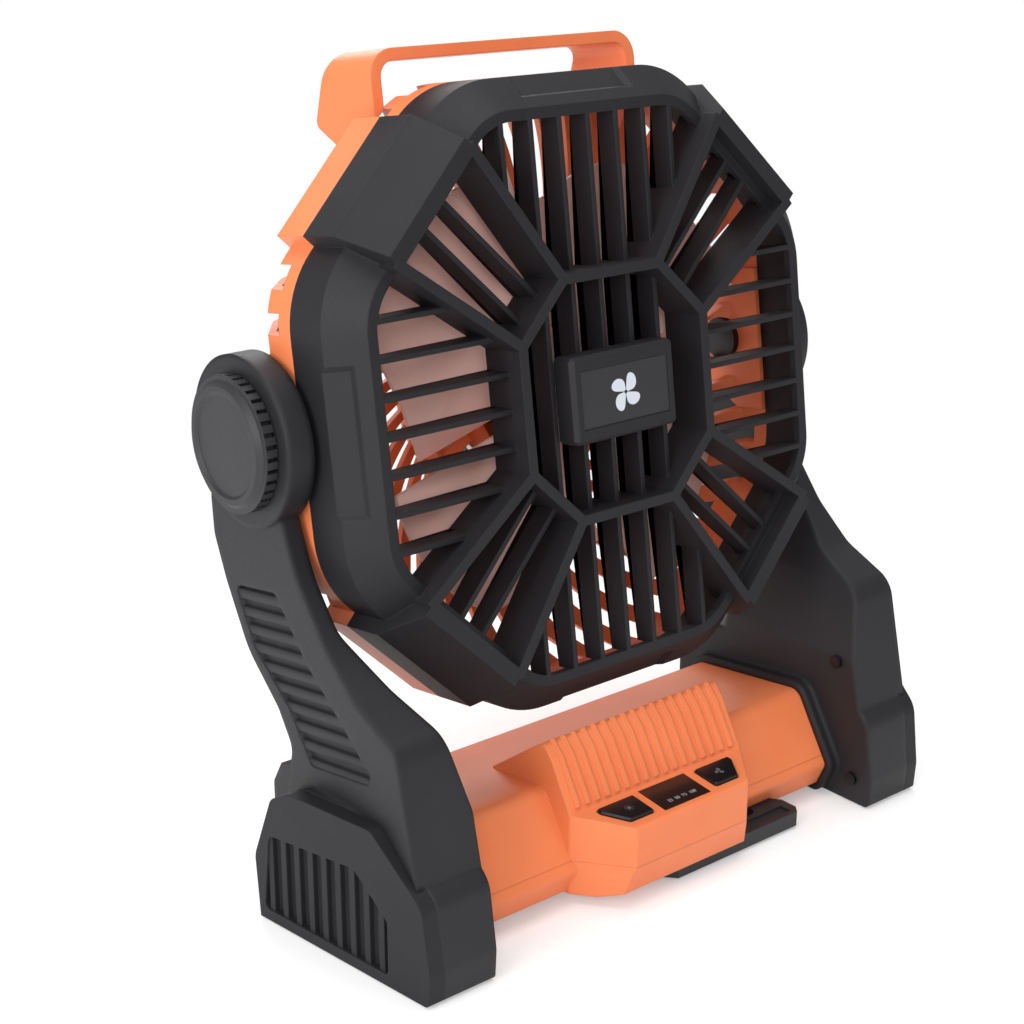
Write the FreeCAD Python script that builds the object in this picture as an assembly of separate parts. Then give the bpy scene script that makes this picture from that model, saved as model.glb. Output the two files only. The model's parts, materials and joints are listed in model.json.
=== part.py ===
import FreeCAD, Part
import math
import os

from FreeCAD import Placement, Rotation, Vector

# Portable camping fan on a forked stand, in millimetres, +Z up, front towards -Y.
# The origin lies on the ground, under the middle of the fan. Depths on the stand are given
# from a line origin_back in front of it.
origin_back = 0.34

# The stand and the pivot
pivot_height = 173.6
pivot_back = 29.8
head_tilt = 8.0
side_half = 112.8
hub_length = 2.6
arm_inner = 96.0
arm_inner_high = side_half + hub_length
arm_outer = arm_inner_high + 7.6
boss_outer = arm_outer + 2.4
boss_radius = 30.4
arm_root_height = 60.0
arm_waist_height = 88.0
arm_waist_inner = 103.0
arm_neck_height = 114.0
ground_gap = 0.6

# Running gaps
fit_gap = 0.05
loose_gap = 0.3
screw_gap = 0.1

# The knobs and pivot bolts
knob_radius = 24.1
knob_face = boss_outer + 6.9
knob_bevel = 2.0
knob_slots = 36
knob_slot_width = 1.5
knob_slot_depth = 2.0
knob_slot_end = 2.6
knob_dish = 17.6
knob_dish_deep = 0.8
knob_roof = 3.3
bolt_radius = 5.0
bolt_flange_radius = 8.5
bolt_flange = 2.8
hub_radius = 18.0

# The head, measured from the middle of its front plane, y towards the back
pivot_depth = 55.3
side_diagonal = side_half + 2.6
side_round = 39.0
rim_half = side_half - 11.0
rim_diagonal = side_diagonal - 11.6
rim_round = 25.6
mouth_rim = 3.9
mouth_half = rim_half - mouth_rim
mouth_diagonal = rim_diagonal - mouth_rim
mouth_round = 21.8
rim_depth = 6.7
crease_depth = 17.6
seam_depth = 36.1
housing_wall = 3.0

# The corner bumpers, measured along the diagonals
bumper_front = side_diagonal - 6.1
bumper_front_half = 24.4
bumper_reach = side_diagonal + 5.5
bumper_half = 25.5
bumper_band = 6.2
bumper_rear_depth = 52.0

# The pocket in each straight side of the bevel, measured at its floor
pocket_half = 24.0
pocket_reach = 8.2
pocket_over = 4.0
pocket_deep = 1.4
pocket_slope = 1.9

# The front grille
ring_flat = 43.1
ring_half = 22.5
bar_width = 3.8
bar_depth = 19.0
slat_pitch = 13.06
slat_width = 1.9
slat_back = 20.5
slats_per_side = 3
centre_slats = 2
corner_slat_offset = 5.9

# The badge place in the middle of the grille
badge_half_width = 24.7
badge_half_height = 15.7
badge_front = -2.5
badge_back = 7.0
badge_chamfer = 1.6
plate_half_width = 20.9
plate_half_height = 10.5
plate_thick = 1.0
plate_recess = 0.3

# The rear shell with its swirl of bars
shell_wall = 2.8
shoulder_depth = 50.0
haunch_depth = 60.0
haunch_half = side_half - 8.3
haunch_diagonal = side_diagonal - 8.2
haunch_round = 36.0
back_depth = 72.0
back_half = 47.0
back_round = 38.0
# how much of the wall lies along the depth at each step of the shell
shoulder_share = 0.4
haunch_share = 0.9
back_share = 0.3
swirl_slots = 44
swirl_share = 0.5
swirl_start = 43.0
swirl_inner = 46.8
swirl_outer = side_half + 37.2
swirl_turn = 26.0

# The pivot pads in the sides of the rear shell
pad_inner = side_half - 4.8
pad_half = 29.0
pad_back = pivot_depth + 14.7
pad_round = 8.0

# The lamp ring and the motor bowl
lamp_radius = 43.4
lamp_ring_wall = 3.0
lamp_ring_front = back_depth - 14.0
lamp_ring_back = back_depth + 2.0
lens_wall = 1.6
lens_back = back_depth + 4.0
bowl_radius = 32.5
bowl_wall = 2.2
bowl_front = 46.0
bowl_back = back_depth + 3.0
bowl_arms = 6
bowl_arm_width = 5.0
bowl_arm_front = back_depth - 16.0
bowl_arm_thick = 3.0
led_count = 12
led_size = 3.0
led_thick = 1.0
strip_thick = 0.8
strip_width = 8.0

# The motor and the fan blades
motor_radius = 17.5
motor_front = bowl_front + 0.5
motor_chamfer = 1.2
motor_nose_radius = 6.1
motor_nose = 2.0
motor_screws_radius = 10.5
motor_screws_count = 3
shaft_radius = 1.6
shaft_reach = 13.5
hub_cup_radius = 21.5
hub_cup_wall = 2.2
hub_cup_front = 26.0
hub_cup_back = motor_front - 3.0
hub_boss_radius = 4.8
blade_count = 4
blade_tip = 88.0
blade_thick = 1.8
blade_front = hub_cup_front - 1.0
blade_back = blade_front + 15.0
cap_radius = 5.0
cap_thick = 2.5
cap_chamfer = 0.6
shaft_front = hub_cup_front - 1.5
shaft_back = motor_front + shaft_reach

# A blade seen from the front: one straight edge, and one edge that sweeps back from its root
blade_straight_angle = 106.0
blade_root_angle = 89.0
blade_sweep_angle = 47.0
blade_sweep_start = 47.0
blade_sweep_bend = 0.25

# The carry handle, on top of the head
handle_half = 61.6
handle_top = side_half + 13.3
handle_thick = 4.3
handle_round = 10.0
handle_front = 47.6
handle_rear_top = 74.0
handle_rear_low = 84.6
handle_low = side_half - 11.1
handle_root = side_half - 25.0
handle_toe = 6.7
handle_toe_rise = 4.2
handle_foot = 14.0

# The base between the arms
base_bottom = 4.0
base_top_front = 41.7
base_top_rear = 34.9
base_rear = 23.2
grip_front = 5.0
grip_back = base_rear + 14.5
grip_shoulder = base_rear + 8.8
grip_height = 53.0
grip_low = 38.5
grip_inset = 2.0
base_brow = -34.9
base_nose = -51.8
base_nose_height = 14.2
base_toe = -47.2
base_wall = 2.5
parting_height = 17.6
floor_thick = 6.5
collar_width = 4.8
collar_thick = 2.8

# The control box on the base
box_half = 43.7
box_front = -68.4
box_front_half = 28.5
box_panel_back = -48.8
panel_front_height = 33.7
panel_back_height = 35.9
box_bend_back = -38.6
box_bend_height = 53.9
box_ridge_back = -33.6
box_ridge_height = 59.4
box_tail = -5.0
box_toe = -64.9
box_toe_height = 6.2
rib_count = 17
rib_pitch = 4.9
rib_width = 2.3
rib_height = 1.0

# The buttons and the display
button_inner = 15.8
button_outer = 33.5
button_outer_low = 27.5
button_back = 3.2
button_shoulder = 5.7
button_front = 15.2
button_proud = 1.1
button_travel = 1.2
button_lip = 1.0
button_stem = 2.0
stem_length = 8.0
display_half = 11.6
display_back = 1.8
display_front = 16.6
display_thick = 1.6

# The hanging loop that folds flat under the base
hook_thick = 6.2
hook_left = -7.6
hook_right = 65.4
hook_front = -63.0
hook_pin_back = -18.0
hook_pin_height = 4.3
hook_pin_radius = 1.6
hook_barrel_left = 17.0
hook_barrel_right = 41.0
hook_pin_seat = 5.5
hook_swing_room = 1.3
hook_neck = 2.6
hook_groove = 1.2
hook_bar = 9.5

# Cells, board and small hardware
cell_radius = 9.1
cell_length = 65.0
cell_pitch = 19.2
cell_rows = 2
cell_middle_gap = 1.0
cradle_thick = 1.6
cradle_lip = 3.0
cradle_edge = 1.5
board_thick = 1.6
board_half = 34.0
board_back = 1.0
board_front = 17.0
board_corner = 12.0
board_leg_side = 20.0
board_leg_down = 5.0
board_leg_radius = 2.5
switch_radius = 3.0
switch_height = 1.5
socket_side = 74.5
socket_half = 4.9
socket_half_height = 2.4
socket_deep = 6.5
socket_wall = 0.8
socket_mouth_half_height = 1.4
socket_tongue_half = 3.0
socket_tongue_thick = 0.7
screw_head_radius = 2.6
screw_head = 1.4
screw_shank_radius = 1.2
screw_shank = 5.0
post_radius = 4.0
post_screw_deep = 8.0
pad_thick = 2.0
pad_arm_inset = 4.0
pad_arm_outset = 6.0

# The foot pods
pod_flare = 0.13
pod_outer = arm_outer + 4.4
pod_flare_start = -47.5
pod_cover_thick = 6.0
pod_recess_deep = 2.6
pod_slats = 9
pod_slat_width = 2.6
pod_slat_shy = 0.6
pod_field_front = -51.7
pod_field_back = 12.0
pod_field_low = 5.0
pod_field_high = 39.4

# The louvres on the arms
louvre_count = 10
louvre_pitch = 6.4
louvre_bar = 3.4
louvre_deep = 1.8
louvre_shy = 0.4
louvre_slope = 0.165
louvre_back = 42.5
louvre_top = 117.5

head_turn = Rotation(Vector(1, 0, 0), -head_tilt)
pivot_point = Vector(0, pivot_back, pivot_height)
panel_slope = math.degrees(math.atan2(panel_back_height - panel_front_height, box_panel_back - box_front))
root2 = math.sqrt(2)

parts = {}


def rounded_wire(corners, lift):
    """Closed outline through corners (a, b, radius), each corner rounded by its radius."""
    edges = []
    joints = []
    corners = with_radius(corners)
    count = len(corners)
    for i in range(count):
        a, b, radius = corners[i]
        before = corners[i - 1]
        after = corners[(i + 1) % count]
        back = Vector(before[0] - a, before[1] - b, 0).normalize()
        ahead = Vector(after[0] - a, after[1] - b, 0).normalize()
        here = Vector(a, b, 0)
        if radius <= 0:
            joints.append((here, None, here))
            continue
        half = back.getAngle(ahead) / 2
        middle = (back + ahead).normalize()
        centre = here + middle * (radius / math.sin(half))
        reach = radius / math.tan(half)
        joints.append((here + back * reach, centre - middle * radius, here + ahead * reach))
    for i in range(count):
        start, crown, end = joints[i]
        if crown is not None:
            edges.append(Part.Arc(lift(start), lift(crown), lift(end)).toShape())
        following = joints[(i + 1) % count][0]
        if (following - end).Length > 1e-6:
            edges.append(Part.LineSegment(lift(end), lift(following)).toShape())
    return Part.Wire(edges)


def with_radius(points, radius=0.0):
    return [(p[0], p[1], p[2] if len(p) > 2 else radius) for p in points]


def prism_x(points, x0, x1, radius=0.0):
    """Solid from a y-z outline, between two x values."""
    wire = rounded_wire(with_radius(points, radius), lambda p: Vector(x0, p.x, p.y))
    return Part.Face(wire).extrude(Vector(x1 - x0, 0, 0))


def prism_y(points, y0, y1, radius=0.0):
    """Solid from an x-z outline, between two y values."""
    wire = rounded_wire(with_radius(points, radius), lambda p: Vector(p.x, y0, p.y))
    return Part.Face(wire).extrude(Vector(0, y1 - y0, 0))


def prism_z(points, z0, z1, radius=0.0):
    """Solid from an x-y outline, between two z values."""
    wire = rounded_wire(with_radius(points, radius), lambda p: Vector(p.x, p.y, z0))
    return Part.Face(wire).extrude(Vector(0, 0, z1 - z0))


def block(x0, x1, y0, y1, z0, z1):
    return Part.makeBox(x1 - x0, y1 - y0, z1 - z0, Vector(x0, y0, z0))


def rod_x(radius, x0, x1, y, z):
    return Part.makeCylinder(radius, abs(x1 - x0), Vector(min(x0, x1), y, z), Vector(1, 0, 0))


def rod_y(radius, y0, y1, x=0.0, z=0.0):
    return Part.makeCylinder(radius, y1 - y0, Vector(x, y0, z), Vector(0, 1, 0))


def rod_z(radius, z0, z1, x, y):
    return Part.makeCylinder(radius, z1 - z0, Vector(x, y, z0), Vector(0, 0, 1))


def tube_y(outer, inner, y0, y1):
    return rod_y(outer, y0, y1).cut(rod_y(inner, y0 - 1, y1 + 1))


def fuse(shapes):
    return shapes[0].multiFuse(shapes[1:]).removeSplitter()


def mirrored(shape):
    return shape.mirror(Vector(0, 0, 0), Vector(1, 0, 0))


def turned_y(shape, degrees):
    """A copy turned about the fan's own axis."""
    copy = shape.copy()
    copy.rotate(Vector(0, 0, 0), Vector(0, 1, 0), degrees)
    return copy


def on_head(shape):
    """Carries a piece from the head's own frame to its place on the stand."""
    copy = shape.copy()
    back_to_pivot = Placement(Vector(0, -pivot_depth, 0), Rotation())
    copy.Placement = Placement(pivot_point, head_turn).multiply(back_to_pivot).multiply(copy.Placement)
    return copy


def on_panel(shape):
    """Carries a piece from the sloped panel's frame, whose origin is its back edge."""
    copy = shape.copy()
    seat = Placement(Vector(0, box_panel_back, panel_back_height), Rotation(Vector(1, 0, 0), panel_slope))
    copy.Placement = seat.multiply(copy.Placement)
    return copy


def keep(name, shapes):
    """Stores one node, made of one solid or of a group of alike solids."""
    parts[name] = shapes if isinstance(shapes, list) else [shapes]


def on_origin(shape):
    copy = shape.copy()
    copy.translate(Vector(0, -origin_back, 0))
    return copy


# The head's outline

def octagon(half, diagonal, radius, y):
    """Rounded eight-sided outline: sides at half, cut corners at diagonal from the middle."""
    near = diagonal * root2 - half
    signs = [(1, -1), (1, 1), (-1, 1), (-1, -1)]
    corners = []
    for sx, sz in signs:
        side = (sx * half, sz * near, radius)
        end = (sx * near, sz * half, radius)
        corners += [side, end] if sx * sz > 0 else [end, side]
    return rounded_wire(corners, lambda p: Vector(p.x, y, p.y))


def loft(wires):
    return Part.makeLoft(wires, True, True)


def diagonal_box(near, far, half, y0, y1):
    """Block lying along the upper right diagonal of the head."""
    corners = [(near, -half), (far, -half), (far, half), (near, half)]
    points = [((d - s) / root2, (d + s) / root2) for d, s in corners]
    return prism_y(points, y0, y1)


def diagonal_wire(near, far, half, y):
    corners = [(near, -half), (far, -half), (far, half), (near, half)]
    points = [((d - s) / root2, (d + s) / root2, 0) for d, s in corners]
    return rounded_wire(points, lambda p: Vector(p.x, y, p.y))


def at_corners(shape):
    return [turned_y(shape, 90 * i) for i in range(4)]


# Front housing and grille

def housing_ring():
    outer = loft([
        octagon(rim_half, rim_diagonal, rim_round, rim_depth),
        octagon(side_half, side_diagonal, side_round, crease_depth),
        octagon(side_half, side_diagonal, side_round, seam_depth),
    ])
    inner = loft([
        octagon(mouth_half, mouth_diagonal, mouth_round, rim_depth - 1),
        octagon(mouth_half, mouth_diagonal, mouth_round, rim_depth + housing_wall),
        octagon(side_half - housing_wall, side_diagonal - housing_wall, side_round - housing_wall,
                crease_depth + housing_wall),
        octagon(side_half - housing_wall, side_diagonal - housing_wall, side_round - housing_wall,
                seam_depth + 1),
    ])
    return outer.cut([inner] + at_corners(side_pocket()))


def side_pocket():
    """Recess in the bevel over the mouth, with sloped walls and open at the crease."""
    crease = Vector(0, crease_depth, side_half)
    down = Vector(0, rim_depth - crease_depth, rim_half - side_half).normalize()
    out = Vector(0, down.z, -down.y)

    def level(height, grow):
        half = pocket_half + grow
        reach = pocket_reach + grow
        corners = [(-half, -pocket_over), (half, -pocket_over), (half, reach), (-half, reach)]
        return rounded_wire(corners, lambda p: Vector(p.x, 0, 0) + crease + down * p.y + out * height)

    return loft([level(-pocket_deep, 0), level(pocket_deep, pocket_slope * 2)])


def bumper():
    """Raised corner guard: a bevelled front and a straight skirt down to the seam."""
    near = bumper_front - bumper_band
    body = loft([
        diagonal_wire(near, bumper_front, bumper_front_half, 0),
        diagonal_wire(near, bumper_reach, bumper_half, crease_depth),
    ])
    skirt = diagonal_box(side_diagonal - housing_wall, bumper_reach, bumper_half, crease_depth, seam_depth)
    hollow = octagon_core(crease_depth + housing_wall, seam_depth + 1)
    return body.fuse(skirt).cut(hollow)


def octagon_core(y0, y1):
    """The free space inside the housing, between two depths."""
    return loft([
        octagon(side_half - housing_wall, side_diagonal - housing_wall, side_round - housing_wall, y0),
        octagon(side_half - housing_wall, side_diagonal - housing_wall, side_round - housing_wall, y1),
    ])


def bar_between(start, end, width, y0, y1):
    """Straight bar between two x-z points."""
    along = Vector(end[0] - start[0], end[1] - start[1], 0)
    side = Vector(-along.y, along.x, 0).normalize() * (width / 2)
    points = [(start[0] + side.x, start[1] + side.y), (end[0] + side.x, end[1] + side.y),
              (end[0] - side.x, end[1] - side.y), (start[0] - side.x, start[1] - side.y)]
    return prism_y(points, y0, y1)


def spoke_end():
    """Where a spoke meets the end of a bumper: x and z in the upper right corner."""
    along = bumper_front - bumper_band / 2
    return ((along - bumper_front_half) / root2, (along + bumper_front_half) / root2)


def grille_frame():
    """The middle ring of eight bars and the eight spokes out to the bumpers."""
    far_x, far_z = spoke_end()
    spoke = bar_between((ring_half, ring_flat), (far_x, far_z), bar_width, 0, bar_depth)
    twin = bar_between((ring_flat, ring_half), (far_z, far_x), bar_width, 0, bar_depth)
    side = bar_between((-ring_half, ring_flat), (ring_half, ring_flat), bar_width, 0, bar_depth)
    cut_side = bar_between((ring_half, ring_flat), (ring_flat, ring_half), bar_width, 0, bar_depth)
    knuckle = rod_y(bar_width / 2, 0, bar_depth, ring_half, ring_flat)
    twin_knuckle = rod_y(bar_width / 2, 0, bar_depth, ring_flat, ring_half)
    quarter = [spoke, twin, side, cut_side, knuckle, twin_knuckle]
    return [turned_y(piece, 90 * i) for i in range(4) for piece in quarter]


def side_slats():
    """Parallel slats between the ring and the upper side of the mouth, turned to all four sides."""
    far_x, far_z = spoke_end()
    field = prism_y([(-ring_half, ring_flat), (ring_half, ring_flat), (far_x, far_z),
                     (far_x, mouth_half + 1), (-far_x, mouth_half + 1), (-far_x, far_z)],
                    rim_depth, slat_back)
    slats = []
    for i in range(-slats_per_side, slats_per_side + 1):
        x = i * slat_pitch
        slats.append(block(x - slat_width / 2, x + slat_width / 2, rim_depth, slat_back,
                           ring_flat - 1, mouth_half + 1))
    group = Part.makeCompound(slats).common(field)
    return [turned_y(solid, 90 * i) for i in range(4) for solid in group.Solids]


def corner_slats():
    near = (ring_flat + ring_half) / root2
    far = bumper_front - bumper_band + 0.5
    slats = []
    for s in (-corner_slat_offset, corner_slat_offset):
        corners = [(near, s - slat_width / 2), (far, s - slat_width / 2),
                   (far, s + slat_width / 2), (near, s + slat_width / 2)]
        points = [((d - o) / root2, (d + o) / root2) for d, o in corners]
        slats.append(prism_y(points, rim_depth, slat_back))
    return [turned_y(slat, 90 * i) for i in range(4) for slat in slats]


def centre_field():
    slats = []
    for i in range(-centre_slats, centre_slats + 1):
        x = i * slat_pitch
        reach = ring_flat if abs(x) < ring_half else ring_flat - (abs(x) - ring_half)
        slats.append(block(x - slat_width / 2, x + slat_width / 2, rim_depth, slat_back, -reach, reach))
    return slats


def badge_block():
    body = block(-badge_half_width, badge_half_width, badge_front, badge_back,
                 -badge_half_height, badge_half_height)
    front = [e for e in body.Edges if abs(e.CenterOfMass.y - badge_front) < 1e-6]
    upright = [e for e in body.Edges if e.BoundBox.YLength > 1]
    body = body.makeChamfer(badge_chamfer, front + upright)
    deep = badge_front + plate_thick + plate_recess
    pocket = block(-plate_half_width, plate_half_width, badge_front - 1, deep,
                   -plate_half_height, plate_half_height)
    return body.cut(pocket)


def front_grille():
    pieces = [housing_ring()] + at_corners(bumper())
    pieces += grille_frame() + side_slats() + corner_slats() + centre_field()
    pieces.append(badge_block())
    keep("front_grille", on_head(fuse(pieces)))
    back = badge_front + plate_thick + plate_recess
    inset = screw_gap
    plate = block(-plate_half_width + inset, plate_half_width - inset, back - plate_thick, back,
                  -plate_half_height + inset, plate_half_height - inset)
    keep("badge_plate", on_head(plate))


# Rear shell

def swirl_angle(radius):
    """How far the bars have turned at a radius, in degrees."""
    return swirl_turn * (radius - swirl_inner) / (side_half - swirl_inner)


def polar(radius, degrees, y):
    turn = math.radians(degrees)
    return Vector(radius * math.cos(turn), y, radius * math.sin(turn))


def swirl_slot():
    """One curved slot, from the lamp ring out past the side of the head."""
    width = 360.0 / swirl_slots * swirl_share
    middle = (swirl_inner + swirl_outer) / 2
    y = swirl_start
    near_a = polar(swirl_inner, 0, y)
    near_b = polar(swirl_inner, width, y)
    mid_a = polar(middle, swirl_angle(middle), y)
    mid_b = polar(middle, swirl_angle(middle) + width, y)
    far_a = polar(swirl_outer, swirl_angle(swirl_outer), y)
    far_b = polar(swirl_outer, swirl_angle(swirl_outer) + width, y)
    wire = Part.Wire([
        Part.Arc(near_a, mid_a, far_a).toShape(),
        Part.LineSegment(far_a, far_b).toShape(),
        Part.Arc(far_b, mid_b, near_b).toShape(),
        Part.LineSegment(near_b, near_a).toShape(),
    ])
    return Part.Face(wire).extrude(Vector(0, back_depth + 10 - y, 0))


def rear_hull(inset):
    """The closed form of the rear shell, drawn in by a wall."""
    return loft([
        octagon(side_half - inset, side_diagonal - inset, side_round - inset, seam_depth),
        octagon(side_half - inset, side_diagonal - inset, side_round - inset,
                shoulder_depth - inset * shoulder_share),
        octagon(haunch_half - inset, haunch_diagonal - inset, haunch_round - inset,
                haunch_depth - inset * haunch_share),
        octagon(back_half - inset * back_share, back_half - inset * back_share, back_round - inset,
                back_depth - inset),
    ])


def rear_bumper():
    """The solid corner of the rear shell, behind each front bumper."""
    near = side_diagonal - housing_wall
    return diagonal_box(near, bumper_reach, bumper_half, seam_depth, bumper_rear_depth)


def rear_rim():
    outer = loft([octagon(side_half, side_diagonal, side_round, seam_depth),
                  octagon(side_half, side_diagonal, side_round, swirl_start)])
    inner = loft([octagon(side_half - shell_wall, side_diagonal - shell_wall, side_round - shell_wall,
                          seam_depth - 1),
                  octagon(side_half - shell_wall, side_diagonal - shell_wall, side_round - shell_wall,
                          swirl_start + 1)])
    return outer.cut(inner)


def pivot_pad():
    outline = [(seam_depth, -pad_half), (shoulder_depth, -pad_half), (pad_back, -pad_half / 2, pad_round),
               (pad_back, pad_half / 2, pad_round), (shoulder_depth, pad_half), (seam_depth, pad_half)]
    pad = prism_x(outline, pad_inner, side_half)
    bore = rod_x(bolt_radius + fit_gap, pad_inner - 1, side_half + 1, pivot_depth, 0)
    return pad, bore


def motor_bowl():
    bowl = rod_y(bowl_radius, bowl_front, bowl_back)
    bowl = bowl.cut(rod_y(bowl_radius - bowl_wall, bowl_front - 1, bowl_back - bowl_wall))
    arms = []
    for i in range(bowl_arms):
        arm = block(bowl_radius - 1, lamp_radius + 1.5, bowl_arm_front, bowl_arm_front + bowl_arm_thick,
                    -bowl_arm_width / 2, bowl_arm_width / 2)
        arms.append(turned_y(arm, 360.0 / bowl_arms * (i + 0.5)))
    return [bowl] + arms


def motor_screw_places():
    step = 360.0 / motor_screws_count
    return [polar(motor_screws_radius, step * (i + 0.25), bowl_back) for i in range(motor_screws_count)]


def rear_shell():
    hull = rear_hull(0).cut(rear_hull(shell_wall))
    slot = swirl_slot()
    slots = [turned_y(slot, 360.0 / swirl_slots * i) for i in range(swirl_slots)]
    hull = hull.cut(slots)
    seat = lamp_radius + screw_gap * 2
    hull = hull.cut(rod_y(seat, bowl_front, lens_back + 5))
    ring = tube_y(seat + lamp_ring_wall, seat, lamp_ring_front, lamp_ring_back)
    pad, bore = pivot_pad()
    pieces = [hull, ring, rear_rim(), pad, mirrored(pad)] + at_corners(rear_bumper()) + motor_bowl()
    shell = fuse(pieces)
    holes = [rod_y(screw_shank_radius + screw_gap, bowl_back - bowl_wall - 1, bowl_back + 1, p.x, p.z)
             for p in motor_screw_places()]
    flange_room = rod_x(bolt_flange_radius + loose_gap, pad_inner - 12, pad_inner, pivot_depth, 0)
    shell = shell.cut([bore, mirrored(bore), flange_room, mirrored(flange_room)] + holes)
    keep("rear_shell", on_head(shell))


def lamp():
    front = bowl_arm_front + bowl_arm_thick
    inner = bowl_radius + loose_gap
    outer_wall = tube_y(lamp_radius, lamp_radius - lens_wall, front, lens_back)
    inner_wall = tube_y(inner + lens_wall, inner, front, lens_back)
    back = tube_y(lamp_radius, inner, lens_back - lens_wall, lens_back)
    keep("lamp_lens", on_head(fuse([outer_wall, inner_wall, back])))
    strip_inner = inner + lens_wall + screw_gap
    strip_front = front + lens_wall
    strip = tube_y(strip_inner + strip_thick, strip_inner, strip_front, strip_front + strip_width)
    keep("led_strip", on_head(strip))
    chips = []
    for i in range(led_count):
        face = strip_inner + strip_thick
        middle = strip_front + strip_width / 2
        chip = block(face - 0.05, face + led_thick, middle - led_size / 2, middle + led_size / 2,
                     -led_size / 2, led_size / 2)
        chip = chip.cut(rod_y(face, middle - led_size, middle + led_size))
        chips.append(on_head(turned_y(chip, 360.0 / led_count * (i + 0.5))))
    keep("led_chips", chips)


def motor():
    can = rod_y(motor_radius, motor_front, bowl_back - bowl_wall)
    can = can.makeChamfer(motor_chamfer, [e for e in can.Edges if abs(e.CenterOfMass.y - motor_front) < 1e-6])
    nose = rod_y(motor_nose_radius, motor_front - motor_nose, motor_front + 1)
    can = can.fuse(nose)
    bore = rod_y(shaft_radius + fit_gap, motor_front - motor_nose - 1, shaft_back + loose_gap)
    screw_end = bowl_back - bowl_wall - screw_shank
    holes = [rod_y(screw_shank_radius + screw_gap, screw_end, bowl_back, p.x, p.z)
             for p in motor_screw_places()]
    keep("motor", on_head(can.cut([bore] + holes)))
    screws = []
    for p in motor_screw_places():
        head = rod_y(screw_head_radius, bowl_back, bowl_back + screw_head, p.x, p.z)
        shank = rod_y(screw_shank_radius, screw_end + screw_gap, bowl_back, p.x, p.z)
        screws.append(on_head(head.fuse(shank)))
    keep("motor_screws", screws)


# Fan blades

def sweep_angle(radius):
    """Where the curved edge of the first blade lies at a radius, in degrees."""
    share = min(max((radius - blade_sweep_start) / (blade_tip - blade_sweep_start), 0), 1)
    bend = 1 - blade_sweep_bend + blade_sweep_bend * share
    return blade_straight_angle + blade_root_angle - blade_sweep_angle * math.sqrt(share) * bend


def blade_section(radius):
    """Thin four-sided section of the blade at a radius."""
    start, end = blade_straight_angle, sweep_angle(radius)
    corners = []
    for angle, y in ((start, blade_front), (end, blade_back - blade_thick),
                     (end, blade_back), (start, blade_front + blade_thick)):
        corners.append(polar(radius / math.cos(math.radians(end - start) / 2), angle, y))
    return Part.makePolygon(corners + [corners[0]])


def fan_blades():
    span = blade_tip - blade_sweep_start
    radii = [hub_cup_radius - 2, (hub_cup_radius + blade_sweep_start) / 2]
    radii += [blade_sweep_start + span * share for share in (0, 0.22, 0.5, 0.8, 1.1)]
    blade = Part.makeLoft([blade_section(r) for r in radii], True, True)
    blade = blade.common(rod_y(blade_tip, blade_front - 1, blade_back + 1))
    blade = blade.cut(rod_y(hub_cup_radius - 1, blade_front - 2, blade_back + 2))
    blades = [turned_y(blade, 360.0 / blade_count * i) for i in range(blade_count)]
    cup = rod_y(hub_cup_radius, hub_cup_front, hub_cup_back)
    cup = cup.cut(rod_y(hub_cup_radius - hub_cup_wall, hub_cup_front + hub_cup_wall, hub_cup_back + 1))
    boss = rod_y(hub_boss_radius, hub_cup_front, hub_cup_back - 3)
    wheel = fuse([cup, boss] + blades)
    wheel = wheel.cut(rod_y(shaft_radius, hub_cup_front - 5, hub_cup_back + 5))
    keep("fan_blades", on_head(wheel))
    keep("motor_shaft", on_head(rod_y(shaft_radius, shaft_front, shaft_back)))
    cap = rod_y(cap_radius, hub_cup_front - cap_thick, hub_cup_front)
    front = [e for e in cap.Edges if abs(e.CenterOfMass.y - hub_cup_front + cap_thick) < 1e-6]
    cap = cap.makeChamfer(cap_chamfer, front)
    keep("shaft_cap", on_head(cap.cut(rod_y(shaft_radius, shaft_front, hub_cup_front + 1))))


# Carry handle

def carry_handle():
    low = handle_root
    outer = [(-handle_half, low), (-handle_half, handle_top, handle_round),
             (handle_half, handle_top, handle_round), (handle_half, low)]
    inner_half = handle_half - handle_thick
    inner_top = handle_top - handle_thick
    inner_round = handle_round - handle_thick
    inner = [(-inner_half, low - 1), (-inner_half, inner_top, inner_round),
             (inner_half, inner_top, inner_round), (inner_half, low - 1)]
    strap = prism_y(outer, handle_front, handle_rear_low).cut(
        prism_y(inner, handle_front - 1, handle_rear_low + 1))
    side = [(handle_front, low), (handle_front, handle_top + 1), (handle_rear_top, handle_top + 1),
            (handle_rear_low, handle_low, 3),
            (handle_rear_low - handle_toe, handle_low - handle_toe_rise), (handle_front + handle_foot, low)]
    strap = strap.common(prism_x(side, -handle_half - 1, handle_half + 1))
    strap = strap.cut([rear_hull(0)] + at_corners(rear_bumper()))
    keep("carry_handle", on_head(max(strap.Solids, key=lambda s: s.Volume)))


# Pivot hardware

def pivots():
    hub = rod_x(hub_radius, side_half, arm_inner_high - loose_gap, pivot_depth, 0)
    hub = hub.cut(rod_x(bolt_radius + fit_gap, side_half - 1, arm_inner_high, pivot_depth, 0))
    keep("pivot_hub_right", on_head(hub))
    keep("pivot_hub_left", on_head(mirrored(hub)))
    inner = pad_inner - loose_gap
    bolt_end = knob_face - knob_roof - screw_gap * 2
    bolt = rod_x(bolt_radius, inner - bolt_flange, bolt_end, pivot_back, pivot_height)
    flange = rod_x(bolt_flange_radius, inner - bolt_flange, inner, pivot_back, pivot_height)
    bolt = bolt.fuse(flange)
    keep("pivot_bolts", [bolt, mirrored(bolt)])
    keep("knob_right", knob())
    keep("knob_left", mirrored(knob()))


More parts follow.
